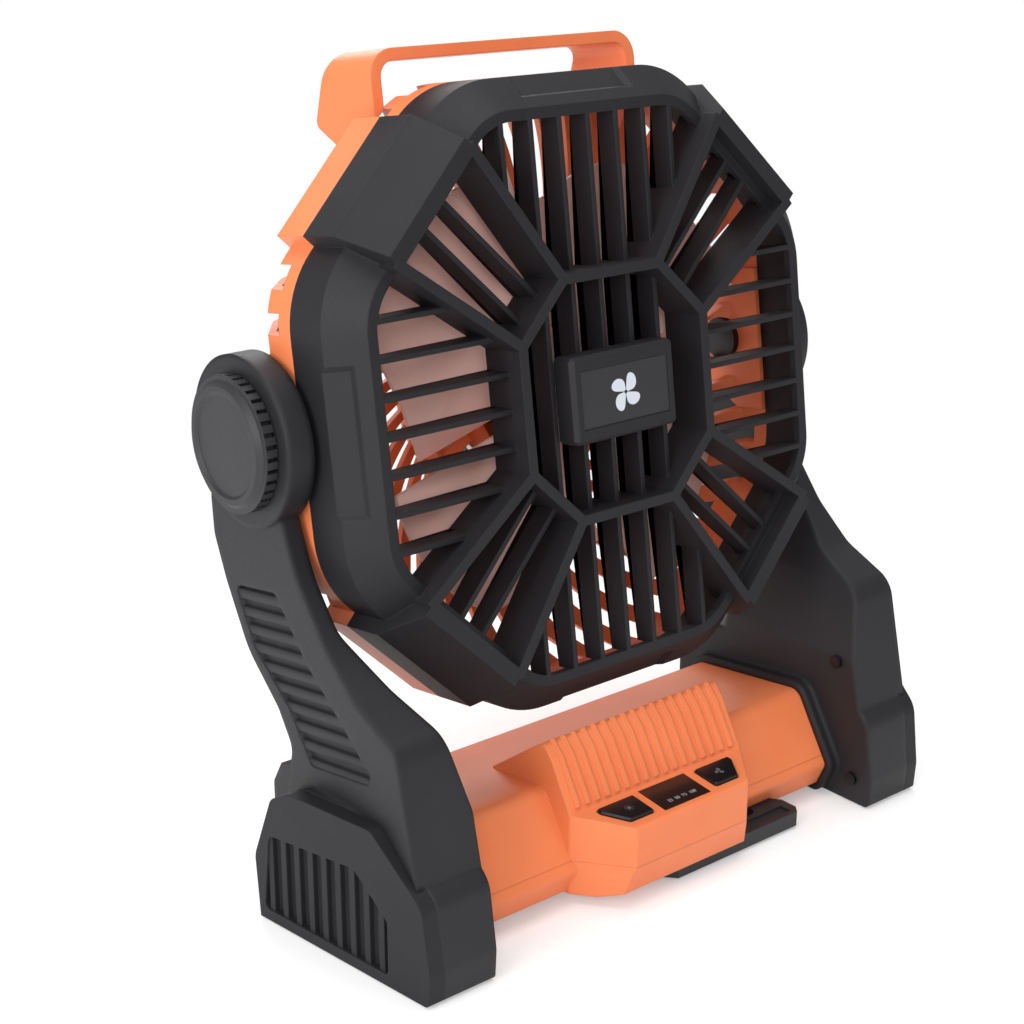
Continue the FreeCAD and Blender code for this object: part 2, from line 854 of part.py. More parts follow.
def knob():
    inner = boss_outer + loose_gap
    y, z = pivot_back, pivot_height
    outward = Vector(1, 0, 0)
    rim = rod_x(knob_radius, inner, knob_face - knob_bevel, y, z)
    face = Part.makeCone(knob_radius - knob_bevel * 0.9, knob_radius - knob_bevel * 1.7, knob_bevel,
                         Vector(knob_face - knob_bevel, y, z), outward)
    body = rim.fuse(face)
    slots = []
    for i in range(knob_slots):
        slot = block(inner - 1, knob_face - knob_slot_end, y + knob_radius - knob_slot_depth,
                     y + knob_radius + 2, z - knob_slot_width / 2, z + knob_slot_width / 2)
        slot.rotate(Vector(0, y, z), Vector(1, 0, 0), 360.0 / knob_slots * i)
        slots.append(slot)
    dish = Part.makeCone(knob_dish, knob_dish + 1, knob_dish_deep, Vector(knob_face - knob_dish_deep, y, z),
                         outward)
    bore = rod_x(bolt_radius + fit_gap, inner - 1, knob_face - knob_roof, y, z)
    return body.cut(slots + [dish, bore])


# Stand arms

def arm_outline():
    return [(12.0, 152.8), (16.0, pivot_height), (44.0, pivot_height), (55.6, 148.0, 6), (54.7, 133.4, 12),
            (48.0, 117.7, 30), (35.2, 94.8, 30), (16.8, 78.4, 12), (8.6, 66.0, 8), (12.4, 50.4),
            (16.4, 24.9, 10), (14.7, ground_gap), (-70.0, ground_gap, 2), (-69.6, 10.8, 10),
            (-65.2, 34.5, 20), (-53.0, 86.7, 12), (-29.8, 96.9, 20), (-13.5, 110.6, 30), (2.7, 130.8, 40)]


def pod_outline():
    return [(-44.1, 57.0, 6), (-2.8, 55.6, 8), (6.5, 50.4, 6), (16.4, 24.9, 10), (14.7, ground_gap),
            (-71.0, ground_gap, 2), (-71.8, 12.6, 10), (-68.1, 36.8, 10)]


def inner_hollow():
    """What is taken from the inner side of an arm, so that the head can turn."""
    outline = [(arm_inner - 30, -5), (arm_inner, -5), (arm_inner, arm_root_height, 10),
               (arm_waist_inner, arm_waist_height, 20), (arm_inner_high, arm_neck_height, 10),
               (arm_inner_high, pivot_height + 60), (arm_inner - 30, pivot_height + 60)]
    return prism_y(outline, -100, 100)


def pod_beyond(shift):
    """Everything outside the flared outer face of a pod, moved inward by shift."""
    y0, y1 = -120.0, 80.0
    x0 = pod_outer + pod_flare * (y0 - pod_flare_start) - shift
    x1 = pod_outer + pod_flare * (y1 - pod_flare_start) - shift
    return prism_z([(x0, y0), (x0 + 60, y0), (x1 + 60, y1), (x1, y1)], -5, 80)


def louvre_field():
    front = [(16.1, 122.1), (-2.1, 101.8), (-23.2, 85.9), (-42.6, 70.0)]
    back = [(-2.9, 63.1), (10.2, 80.6), (31.5, 96.8), (42.5, 117.5)]
    return prism_x(front + back, arm_outer - louvre_deep, arm_outer + 1, 3)


def louvres():
    """The slanted bars left standing in the recess of the arm."""
    bars = []
    for i in range(louvre_count + 1):
        z = louvre_top + louvre_pitch / 2 - louvre_pitch * i
        low, high = z - louvre_bar / 2, z + louvre_bar / 2
        front = louvre_back - 100
        rise = louvre_slope * 100
        outline = [(louvre_back, low), (louvre_back, high), (front, high + rise), (front, low + rise)]
        bars.append(prism_x(outline, arm_outer - louvre_deep - 0.5, arm_outer - louvre_shy))
    return Part.makeCompound(bars)


def rear_grip():
    """Block behind the arm that the rear of the base is held in."""
    outline = [(grip_front, grip_height), (base_rear, grip_height, 3), (grip_shoulder, grip_height - 5, 3),
               (grip_back, grip_low, 3), (grip_back, base_bottom), (grip_front, base_bottom)]
    return prism_x(outline, arm_inner, arm_inner_high - grip_inset)


def base_outline(extra=0.0):
    wire = rounded_wire([(base_brow, base_top_front, 6), (base_rear, base_top_rear, 5),
                         (base_rear, base_bottom, 3), (base_toe, base_bottom, 2),
                         (base_nose, base_nose_height, 3)],
                        lambda p: Vector(0, p.x, p.y))
    face = Part.Face(wire)
    if abs(extra) > 0:
        face = face.makeOffset2D(extra)
    return face


def slab_of(face, x0, x1):
    copy = face.copy()
    copy.translate(Vector(x0, 0, 0))
    return copy.extrude(Vector(x1 - x0, 0, 0))


def collar():
    outer = slab_of(base_outline(collar_thick + screw_gap), arm_inner - collar_width, arm_inner)
    return outer.cut(slab_of(base_outline(screw_gap), arm_inner - collar_width - 1, arm_inner + 1))


def arm_screw_places():
    return [(-50.8, 58.2), (-62.0, 10.7)]


def foot_pad_places():
    return [(-58.0, -38.0), (-12.0, 6.0)]


def arm():
    plate = prism_x(arm_outline(), arm_inner - 1, arm_outer)
    field = louvre_field()
    plate = plate.cut(field).fuse(louvres().common(field))
    boss = rod_x(boss_radius, arm_inner_high, boss_outer, pivot_back, pivot_height)
    pod = prism_x(pod_outline(), arm_inner, pod_outer + 20)
    cover_room = pod.common(pod_beyond(pod_cover_thick))
    body = fuse([plate, boss, pod]).cut([inner_hollow(), cover_room])
    body = fuse([body, rear_grip(), collar()])
    cuts = [rod_x(bolt_radius + fit_gap, arm_inner_high - 1, boss_outer + 1, pivot_back, pivot_height)]
    for y, z in arm_screw_places():
        cuts.append(rod_x(screw_shank_radius + screw_gap, arm_inner - 1, arm_inner + screw_shank, y, z))
    for y0, y1 in foot_pad_places():
        cuts.append(block(arm_inner + pad_arm_inset, arm_outer - pad_arm_outset, y0, y1, -5, pad_thick))
    return body.cut(cuts)


def pod_cover():
    shell = prism_x(pod_outline(), arm_inner, pod_outer + 20)
    shell = shell.cut(pod_beyond(0)).common(pod_beyond(pod_cover_thick))
    field = [(pod_field_back - 3.6, pod_field_high - 4, 3), (pod_field_front + 16.1, pod_field_high, 3),
             (pod_field_front, pod_field_high - 13.7, 3), (pod_field_front, pod_field_low, 2),
             (pod_field_back, pod_field_low, 2)]
    recess = prism_x(field, arm_inner, pod_outer + 20).common(pod_beyond(pod_recess_deep))
    slats = []
    pitch = (pod_field_back - pod_field_front) / pod_slats
    for i in range(pod_slats):
        y = pod_field_front + pitch * (i + 0.5)
        slats.append(block(arm_inner, pod_outer + 20, y - pod_slat_width / 2, y + pod_slat_width / 2,
                           0, pod_field_high + 1))
    bars = Part.makeCompound(slats).common(recess).cut(pod_beyond(pod_slat_shy))
    return fuse([shell.cut(recess)] + bars.Solids)


def arms():
    right = arm()
    keep("arm_right", right)
    keep("arm_left", mirrored(right))
    cover = pod_cover()
    keep("pod_cover_right", cover)
    keep("pod_cover_left", mirrored(cover))
    screws = []
    for y, z in arm_screw_places():
        head = rod_x(screw_head_radius, arm_inner - screw_head, arm_inner, y, z)
        shank = rod_x(screw_shank_radius, arm_inner, arm_inner + screw_shank - screw_gap, y, z)
        screws.append(head.fuse(shank))
    keep("arm_screws", screws + [mirrored(s) for s in screws])
    pads = []
    for y0, y1 in foot_pad_places():
        inset = screw_gap
        pads.append(block(arm_inner + pad_arm_inset + inset, arm_outer - pad_arm_outset - inset,
                          y0 + inset, y1 - inset, 0, pad_thick))
    keep("foot_pads", pads + [mirrored(p) for p in pads])


# Base and control box

def box_side(extra=0.0):
    wire = rounded_wire([(box_front, panel_front_height, 1.5), (box_panel_back, panel_back_height, 1.0),
                         (box_bend_back, box_bend_height, 6), (box_ridge_back, box_ridge_height, 3),
                         (box_tail, 38.6), (box_tail, base_bottom), (box_toe + 8, base_bottom),
                         (box_toe, box_toe_height), (box_front, parting_height)],
                        lambda p: Vector(0, p.x, p.y))
    face = Part.Face(wire)
    if abs(extra) > 0:
        face = face.makeOffset2D(extra)
    return face


def box_plan(inset):
    chamfer = inset * 0.6
    return prism_z([(-box_half + inset, 30), (-box_half + inset, box_panel_back + chamfer, 2),
                    (-box_front_half + chamfer, box_front + inset, 2),
                    (box_front_half - chamfer, box_front + inset, 2),
                    (box_half - inset, box_panel_back + chamfer, 2), (box_half - inset, 30)], 0, 80)


def base_outer():
    bar = slab_of(base_outline(), -arm_inner, arm_inner)
    box = slab_of(box_side(), -box_half - 1, box_half + 1).common(box_plan(0))
    return bar.fuse(box)


def base_inner():
    bar = slab_of(base_outline(-base_wall), -arm_inner + base_wall, arm_inner - base_wall)
    box = slab_of(box_side(-base_wall), -box_half, box_half).common(box_plan(base_wall))
    return bar.fuse(box)


def rib_outline():
    low = Vector(box_panel_back, panel_back_height, 0)
    bend = Vector(box_bend_back, box_bend_height, 0)
    ridge = Vector(box_ridge_back, box_ridge_height, 0)

    def outward(a, b):
        along = (b - a).normalize()
        return Vector(-along.y, along.x, 0)

    first, second = outward(low, bend), outward(bend, ridge)
    middle = (first + second).normalize()
    start = low + (bend - low).normalize() * 1.5
    outer = [start + first * rib_height, bend + middle * rib_height * 0.6, ridge + second * rib_height * 0.2]
    inner = [ridge - second, bend - middle * 1.6, start - first]
    return [(p.x, p.y) for p in outer + inner]


def ribs():
    outline = rib_outline()
    made = []
    for i in range(rib_count):
        x = (i - (rib_count - 1) / 2) * rib_pitch
        made.append(prism_x(outline, x - rib_width / 2, x + rib_width / 2))
    return made


def base_screw_places():
    return [(-86.0, -30.0), (86.0, -30.0), (-86.0, 12.0), (86.0, 12.0)]


def button_outline(extra=0.0):
    wire = rounded_wire([(button_inner, -button_back, 1), (button_outer, -button_back, 1),
                         (button_outer, -button_shoulder, 1), (button_outer_low, -button_front, 1),
                         (button_inner, -button_front, 1)],
                        lambda p: Vector(p.x, p.y, 0))
    face = Part.Face(wire)
    if abs(extra) > 0:
        face = face.makeOffset2D(extra)
    return face


def slab_up(face, z0, z1):
    copy = face.copy()
    copy.translate(Vector(0, 0, z0))
    return copy.extrude(Vector(0, 0, z1 - z0))


def button():
    cap = slab_up(button_outline(), -base_wall - loose_gap, button_proud)
    top = [e for e in cap.Edges if abs(e.CenterOfMass.z - button_proud) < 1e-6]
    cap = cap.makeChamfer(0.4, top)
    lip = slab_up(button_outline(button_lip), -base_wall - loose_gap - 1.0, -base_wall - loose_gap)
    x, y = button_centre()
    stem = rod_z(button_stem, -stem_length, -base_wall - loose_gap - 0.5, x, y)
    return on_panel(fuse([cap, lip, stem]))


def button_centre():
    return ((button_inner + button_outer_low) / 2 + 1, -(button_back + button_front) / 2)


def display_outline(extra=0.0):
    return [(-display_half - extra, -display_front - extra), (display_half + extra, -display_front - extra),
            (display_half + extra, -display_back + extra), (-display_half - extra, -display_back + extra)]


def charge_socket_place():
    return socket_side, (parting_height + base_top_rear) / 2 - 1


def upper_shell():
    shell = base_outer().cut(base_inner())
    shell = fuse([shell] + ribs())
    x, z = charge_socket_place()
    posts = [rod_z(post_radius, base_bottom + floor_thick, base_top_front, px, py).common(base_outer())
             for px, py in base_screw_places()]
    cuts = [block(-120, 120, -100, 60, -10, parting_height)]
    hole = on_panel(slab_up(button_outline(loose_gap), -base_wall - 3, 5))
    cuts += [hole, mirrored(hole)]
    cuts.append(on_panel(prism_z(display_outline(screw_gap), -display_thick, 5)))
    cuts.append(on_panel(prism_z(display_outline(-1.5), -base_wall - 3, 5)))
    side, rise = socket_half + screw_gap, socket_half_height + screw_gap
    cuts.append(block(x - side, x + side, base_rear - base_wall - 1, base_rear + 1, z - rise, z + rise))
    shell = shell.cut(cuts)
    shell = fuse([shell] + posts)
    screw_end = base_bottom + floor_thick + post_screw_deep
    drill = [rod_z(screw_shank_radius + screw_gap, base_bottom, screw_end + 1, px, py)
             for px, py in base_screw_places()]
    return shell.cut(drill)


def hook_field(extra):
    """Room under the base for the folded loop."""
    outline = hook_outline()
    wire = rounded_wire(outline, lambda p: Vector(p.x, p.y, 0))
    face = Part.Face(wire).makeOffset2D(extra)
    return slab_up(face, -5, hook_pin_height + hook_thick / 2 + loose_gap)


def lower_shell():
    outer = base_outer().common(block(-120, 120, -100, 60, 0, parting_height))
    inner = base_inner().common(block(-120, 120, -100, 60, base_bottom + floor_thick, parting_height + 1))
    shell = outer.cut(inner)
    cuts = [hook_field(loose_gap * 2)]
    left, right = hook_barrel_left, hook_barrel_right
    swing = rod_x(hook_thick / 2 + hook_swing_room, left - hook_swing_room, right + hook_swing_room,
                  hook_pin_back, hook_pin_height)
    reach = hook_pin_seat + 0.5
    grip = hook_pin_radius + fit_gap
    pin = rod_x(grip, left - reach, right + reach, hook_pin_back, hook_pin_height)
    slot = block(left - reach, right + reach, hook_pin_back - grip, hook_pin_back + grip, 0, hook_pin_height)
    cuts += [swing, pin, slot]
    for px, py in base_screw_places():
        cuts.append(rod_z(screw_shank_radius + screw_gap, 0, 20, px, py))
        cuts.append(rod_z(screw_head_radius + screw_gap, 0, base_bottom + screw_head, px, py))
        cuts.append(rod_z(post_radius + screw_gap, base_bottom + floor_thick, 40, px, py))
    return shell.cut(cuts)


def base():
    keep("base_upper_shell", upper_shell())
    keep("base_lower_shell", lower_shell())
    screws = []
    for px, py in base_screw_places():
        head = rod_z(screw_head_radius, base_bottom, base_bottom + screw_head, px, py)
        shank = rod_z(screw_shank_radius, base_bottom + screw_head,
                      base_bottom + floor_thick + post_screw_deep, px, py)
        screws.append(head.fuse(shank))
    keep("base_screws", screws)
    right = button()
    keep("fan_button", right)
    keep("light_button", mirrored(right))
    keep("display_window", on_panel(prism_z(display_outline(), -display_thick, 0)))


def electrics():
    floor = base_bottom + floor_thick
    cells = []
    middle = floor + cradle_thick + cell_radius
    first = base_rear - base_wall - loose_gap - 2 - cell_radius
    for row in range(cell_rows):
        y = first - row * cell_pitch
        for side in (-1, 1):
            x0 = cell_middle_gap if side > 0 else -cell_middle_gap - cell_length
            cells.append(rod_x(cell_radius, x0, x0 + cell_length, y, middle))
    keep("battery_cells", cells)
    reach = cell_length + cell_middle_gap + cradle_edge
    y0 = first - (cell_rows - 1) * cell_pitch - cell_radius
    tray = block(-reach, reach, y0 - cradle_edge, first + cell_radius + cradle_edge,
                 floor, floor + cradle_thick + cradle_lip)
    room = cell_length + cell_middle_gap + screw_gap
    beds = [rod_x(cell_radius + fit_gap, -room, room, first - row * cell_pitch, middle)
            for row in range(cell_rows)]
    keep("battery_cradle", tray.cut(beds))
    stem_foot = -stem_length - button_travel - screw_gap
    x, y = button_centre()
    board_top = stem_foot - switch_height
    plate = block(-board_half, board_half, -board_front, -board_back, board_top - board_thick, board_top)
    plate = plate.cut(box_beyond_board())
    switches = [rod_z(switch_radius, board_top - 0.5, stem_foot, sx * x, y) for sx in (-1, 1)]
    keep("control_board", on_panel(fuse([plate] + switches)))
    legs = []
    low = board_top - board_thick
    for sx in (-1, 1):
        legs.append(board_leg(sx * board_leg_side, -board_leg_down, low))
    parts["base_lower_shell"] = [fuse(parts["base_lower_shell"] + legs)]
    keep("charge_socket", charge_socket())


def charge_socket():
    x, z = charge_socket_place()
    face = base_rear - 0.5
    floor = face - socket_deep
    body = block(x - socket_half, x + socket_half, floor - base_wall, face,
                 z - socket_half_height, z + socket_half_height)
    half = socket_half - socket_wall
    mouth = block(x - half, x + half, floor, face + 1,
                  z - socket_mouth_half_height, z + socket_mouth_half_height)
    tongue = block(x - socket_tongue_half, x + socket_tongue_half, floor - 1, face - 1,
                   z - socket_tongue_thick / 2, z + socket_tongue_thick / 2)
    return body.cut(mouth).fuse(tongue)


def box_beyond_board():
    """Corners taken off the board so that it clears the cut corners of the box."""
    corner = prism_z([(board_half - board_corner, -board_front - 1), (board_half + 5, -board_front - 1),
                      (board_half + 5, -board_back)], -30, 5)
    return [corner, mirrored(corner)]


def board_leg(x, v, low):
    """Post from the floor of the base up to the underside of the sloped board."""
    post = on_panel(rod_z(board_leg_radius, low - 20, low, x, v))
    floor = block(-120, 120, -120, 60, -60, base_bottom + floor_thick - 0.5)
    return post.cut(floor)


# Hanging loop

def hook_outline():
    left, right = hook_barrel_left, hook_barrel_right
    tail = hook_pin_back + hook_thick / 2
    neck = hook_pin_back - hook_neck
    return [(left, tail), (left, neck), (hook_left, hook_front + 7), (hook_left + 6, hook_front),
            (hook_right - 2.5, hook_front), (hook_right, hook_front + 3), (hook_right, hook_front + 10.6),
            (right, neck), (right, tail)]


def hook():
    z0 = hook_pin_height - hook_thick / 2
    z1 = hook_pin_height + hook_thick / 2
    body = prism_z(hook_outline(), z0, z1)
    left, right = hook_barrel_left, hook_barrel_right
    back = hook_pin_back - hook_thick / 2 - 4
    opening = prism_z([(left + 4, back, 2), (hook_left + 14, hook_front + hook_bar + 3, 3),
                       (hook_left + 18, hook_front + hook_bar, 3),
                       (hook_right - 12, hook_front + hook_bar, 4), (right - 4, back, 2)], z0 - 1, z1 + 1)
    groove = prism_z([(hook_left + 9, hook_front + 2), (hook_right - 4, hook_front + 2),
                      (hook_right - 4, hook_front + 7.2), (hook_left + 6, hook_front + 7.2)],
                     z1 - hook_groove, z1 + 1)
    body = body.cut([opening, groove])
    tail = block(left - 1, right + 1, hook_pin_back, hook_pin_back + 10, z0 - 1, z1 + 1)
    body = body.cut(tail)
    body = body.fuse(rod_x(hook_thick / 2, left, right, hook_pin_back, hook_pin_height))
    body = body.cut(rod_x(hook_pin_radius + fit_gap, left - 6, right + 6, hook_pin_back, hook_pin_height))
    keep("hanging_loop", body)
    keep("loop_pin", rod_x(hook_pin_radius, left - hook_pin_seat, right + hook_pin_seat,
                           hook_pin_back, hook_pin_height))


front_grille()
rear_shell()
lamp()
motor()
fan_blades()
carry_handle()
pivots()
arms()
base()
electrics()
hook()

os.makedirs("parts", exist_ok=True)
for name, solids in parts.items():
    solids = [on_origin(solid) for solid in solids]
    parts[name] = solids
    shape = solids[0] if len(solids) == 1 else Part.makeCompound(solids)
    shape.exportStep(os.path.join("parts", name + ".step"))
whole = Part.makeCompound([s for solids in parts.values() for s in solids])
box = whole.BoundBox
print("size", round(box.XLength, 1), round(box.YLength, 1), round(box.ZLength, 1))
print("middle", round(box.Center.x, 2), round(box.Center.y, 2), "lowest", round(box.ZMin, 2))
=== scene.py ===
import json
import math

import bmesh
import bpy
from mathutils import Matrix, Vector


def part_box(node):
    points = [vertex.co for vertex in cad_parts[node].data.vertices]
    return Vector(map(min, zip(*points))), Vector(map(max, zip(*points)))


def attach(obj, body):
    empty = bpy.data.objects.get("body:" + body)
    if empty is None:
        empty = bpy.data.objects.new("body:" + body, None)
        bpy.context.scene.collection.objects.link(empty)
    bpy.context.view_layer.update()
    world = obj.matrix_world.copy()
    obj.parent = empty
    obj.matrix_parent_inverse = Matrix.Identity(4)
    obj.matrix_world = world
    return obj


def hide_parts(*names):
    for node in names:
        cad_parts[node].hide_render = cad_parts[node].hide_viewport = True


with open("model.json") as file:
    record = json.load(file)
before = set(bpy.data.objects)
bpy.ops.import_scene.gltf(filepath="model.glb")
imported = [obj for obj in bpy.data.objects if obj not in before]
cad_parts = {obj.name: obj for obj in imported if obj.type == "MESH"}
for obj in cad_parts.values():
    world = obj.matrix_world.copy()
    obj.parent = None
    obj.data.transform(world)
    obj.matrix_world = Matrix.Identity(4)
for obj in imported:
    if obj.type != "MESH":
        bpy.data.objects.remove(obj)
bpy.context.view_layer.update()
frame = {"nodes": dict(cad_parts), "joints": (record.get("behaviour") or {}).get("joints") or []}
nodes = frame["nodes"]
joints = {joint["name"]: joint for joint in frame["joints"]}
mm = 0.001
mergeWithin = 0.002 * mm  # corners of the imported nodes' loose triangles that are one corner
print("frame loaded:", len(nodes), "nodes")

# the head leans back about its pivot, so its own pieces are made upright and carried over
head = {"lean": 8.0, "pivotDepth": 55.3}
pivotPoint = Vector(joints["head_tilt"]["pos_m"])
headPlace = (Matrix.Translation(pivotPoint)
             @ Matrix.Rotation(math.radians(-head["lean"]), 4, "X")
             @ Matrix.Translation((0, -head["pivotDepth"] * mm, 0)))

# the sloped panel of the control box: its frame lies on the middle of the display
panel = {"windowThick": 1.6, "keyProud": 1.1, "keySide": 23.0}
panelUp = -Vector(joints["light_push"]["axis"])
panelBack = Vector((0, panelUp.z, -panelUp.y))
windowLow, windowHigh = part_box("display_window")
windowFace = (windowLow + windowHigh) / 2 + panelUp * panel["windowThick"] * mm / 2


# a frame on a flat face: u along it, v up it, w out of it
def facePlace(origin, u, v):
    u = Vector(u).normalized()
    v = Vector(v).normalized()
    w = u.cross(v)
    place = Matrix((u, v, w)).transposed().to_4x4()
    place.translation = origin
    return place


# a finished mesh becomes a piece that rides on a body
def addPiece(name, mesh, material, body):
    mesh.materials.append(material)
    piece = bpy.data.objects.new(name, mesh)
    bpy.context.scene.collection.objects.link(piece)
    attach(piece, body)
    return piece


# materials: patterns follow Object coordinates, and their sizes are in millimetres

def linear(hexColour):
    channels = [int(hexColour[i:i + 2], 16) / 255 for i in (1, 3, 5)]
    return tuple(c / 12.92 if c <= 0.04045 else ((c + 0.055) / 1.055) ** 2.4 for c in channels) + (1.0,)


# one node with its settings, its socket values and what feeds it
def addNode(tree, kind, inputs=None, links=None, **settings):
    node = tree.nodes.new(kind)
    for name, value in settings.items():
        setattr(node, name, value)
    for name, value in (inputs or {}).items():
        node.inputs[name].default_value = value
    for name, source in (links or {}).items():
        tree.links.new(source, node.inputs[name])
    return node


# a material whose plain values stand on the shader's own sockets
def startMaterial(name, sockets):
    material = bpy.data.materials.new(name)
    material.use_nodes = True
    tree = material.node_tree
    shader = tree.nodes["Principled BSDF"]
    for socket, value in sockets.items():
        shader.inputs[socket].default_value = value
    coords = addNode(tree, "ShaderNodeTexCoord").outputs["Object"]
    return material, tree, shader, coords


noise = {"roughness": 0.6, "fineDetail": 3.0, "softDetail": 2.0}


# two close tones that drift into each other, in patches about as wide as tones["patch"]
def addTones(tree, shader, coords, tones, detail, span=(0.0, 1.0)):
    patches = addNode(tree, "ShaderNodeTexNoise",
                      {"Scale": 1 / (tones["patch"] * mm), "Detail": detail, "Roughness": noise["roughness"]},
                      {"Vector": coords})
    spread = addNode(tree, "ShaderNodeMapRange", {"From Min": span[0], "From Max": span[1]},
                     {"Value": patches.outputs["Fac"]})
    ramp = addNode(tree, "ShaderNodeValToRGB", None, {"Fac": spread.outputs["Result"]})
    ramp.color_ramp.elements[0].color = linear(tones["deep"])
    ramp.color_ramp.elements[1].color = linear(tones["colour"])
    tree.links.new(ramp.outputs["Color"], shader.inputs["Base Color"])


plastic = {"refraction": 1.49, "cloudSpan": (0.35, 0.65), "grainSpan": (0.3, 0.7), "glossSwing": 0.05,
           "bumpStrength": 0.5, "edgeSamples": 4}


# one recipe for all moulded plastic: the grain sets the bump and the gloss, a slow cloud shifts the tone,
# and softened edges each catch a thin line of light
def plasticMaterial(name, look):
    material, tree, shader, coords = startMaterial(
        name, {"IOR": plastic["refraction"], "Specular IOR Level": look["shine"]})
    addTones(tree, shader, coords, look, noise["softDetail"], plastic["cloudSpan"])
    grain = addNode(tree, "ShaderNodeTexNoise",
                    {"Scale": 1 / (look["grain"] * mm), "Detail": noise["fineDetail"],
                     "Roughness": noise["roughness"]}, {"Vector": coords})
    gloss = addNode(tree, "ShaderNodeMapRange",
                    {"From Min": plastic["grainSpan"][0], "From Max": plastic["grainSpan"][1],
                     "To Min": look["rough"] - plastic["glossSwing"], "To Max": look["rough"] + plastic["glossSwing"]},
                    {"Value": grain.outputs["Fac"]})
    tree.links.new(gloss.outputs["Result"], shader.inputs["Roughness"])
    rounded = addNode(tree, "ShaderNodeBevel", {"Radius": look["edge"] * mm}, samples=plastic["edgeSamples"])
    bump = addNode(tree, "ShaderNodeBump", {"Strength": plastic["bumpStrength"], "Distance": look["bump"] * mm},
                   {"Height": grain.outputs["Fac"], "Normal": rounded.outputs["Normal"]})
    tree.links.new(bump.outputs["Normal"], shader.inputs["Normal"])
    return material


# black ABS, spark-eroded mould: an even grain spreads every highlight, drawn a little coarse so that it shows
blackAbs = plasticMaterial("blackAbsSparkGrain", {
    "colour": "#1b1a1e", "deep": "#18171b", "patch": 26, "grain": 0.7, "bump": 0.1,
    "rough": 0.6, "shine": 0.34, "edge": 0.7})
# the same on the arms: a wide soft round runs along their outlines
armAbs = plasticMaterial("blackAbsWideRound", {
    "colour": "#1b1a1e", "deep": "#18171b", "patch": 26, "grain": 0.7, "bump": 0.1,
    "rough": 0.55, "shine": 0.42, "edge": 3.0})
# black ABS, smoother mould: a dull sheen on the knobs, the loop and the plate
knobAbs = plasticMaterial("blackAbsSatin", {
    "colour": "#28282b", "deep": "#252528", "patch": 22, "grain": 0.8, "bump": 0.02,
    "rough": 0.5, "shine": 0.42, "edge": 0.5})
# orange ABS, fine satin mould: bright, slightly waxy
orangeAbs = plasticMaterial("orangeAbsSatin", {
    "colour": "#e67f4f", "deep": "#e27949", "patch": 34, "grain": 1.0, "bump": 0.014,
    "rough": 0.44, "shine": 0.4, "edge": 0.7})
# black ABS, polished mould: sharp reflections on the keys and the socket
keyAbs = plasticMaterial("blackAbsPolished", {
    "colour": "#161618", "deep": "#141416", "patch": 20, "grain": 0.8, "bump": 0.004,
    "rough": 0.2, "shine": 0.5, "edge": 0.5})
# smoked acrylic, polished: a dark window, a little warmer than the keys
smokeWindow = plasticMaterial("displaySmoke", {
    "colour": "#2a1a17", "deep": "#261715", "patch": 20, "grain": 1.2, "bump": 0.002,
    "rough": 0.16, "shine": 0.5, "edge": 0.3})
# PVC film shrunk round the cells: tight, glossy blue, hidden in the base
filmBlue = plasticMaterial("cellShrinkFilm", {
    "colour": "#2f6fa8", "deep": "#2a6498", "patch": 20, "grain": 1.5, "bump": 0.01,
    "rough": 0.3, "shine": 0.5, "edge": 0.3})
# fibreglass board under green lacquer: flat, half glossy
boardGreen = plasticMaterial("boardGreenLacquer", {
    "colour": "#1f6b3c", "deep": "#1a5c34", "patch": 12, "grain": 0.8, "bump": 0.01,
    "rough": 0.4, "shine": 0.5, "edge": 0.2})
# nitrile rubber, moulded: matt with a coarse tooth
padRubber = plasticMaterial("nitrileRubber", {
    "colour": "#222223", "deep": "#1d1d1e", "patch": 14, "grain": 1.2, "bump": 0.06,
    "rough": 0.82, "shine": 0.3, "edge": 0.4})
# flexible strip under white lacquer: clean, even white
stripWhite = plasticMaterial("ledStripWhite", {
    "colour": "#e6e7e4", "deep": "#dfe0dd", "patch": 10, "grain": 1.0, "bump": 0.005,
    "rough": 0.45, "shine": 0.5, "edge": 0.1})

# polypropylene without filler, moulded thin: milky pink, and a little light comes softly through it
blade = {"colour": "#fccdc2", "deep": "#f8c4b8", "patch": 30.0, "edge": 0.4,
         "sockets": {"IOR": 1.49, "Roughness": 0.42, "Transmission Weight": 0.12, "Subsurface Weight": 0.25,
                     "Subsurface Radius": (0.006, 0.003, 0.002), "Subsurface Scale": 1.0}}


def bladeMaterial():
    material, tree, shader, coords = startMaterial("polypropyleneMilkyPink", blade["sockets"])
    addTones(tree, shader, coords, blade, noise["softDetail"])
    rounded = addNode(tree, "ShaderNodeBevel", {"Radius": blade["edge"] * mm}, samples=plastic["edgeSamples"])
    tree.links.new(rounded.outputs["Normal"], shader.inputs["Normal"])
    return material


# clear polycarbonate, polished: a little grey in its thickness, with a faint flow ripple
clear = {"ripple": 6.0, "rippleDetail": 1.0, "rippleStrength": 0.2, "rippleDeep": 0.05,
         "sockets": {"IOR": 1.58, "Base Color": linear("#e8eaea"), "Transmission Weight": 0.85, "Roughness": 0.12}}


def clearMaterial():
    material, tree, shader, coords = startMaterial("polycarbonateClear", clear["sockets"])
    ripple = addNode(tree, "ShaderNodeTexNoise",
                     {"Scale": 1 / (clear["ripple"] * mm), "Detail": clear["rippleDetail"],
                      "Roughness": noise["roughness"]}, {"Vector": coords})
    bump = addNode(tree, "ShaderNodeBump",
                   {"Strength": clear["rippleStrength"], "Distance": clear["rippleDeep"] * mm},
                   {"Height": ripple.outputs["Fac"]})
    tree.links.new(bump.outputs["Normal"], shader.inputs["Normal"])
    return material


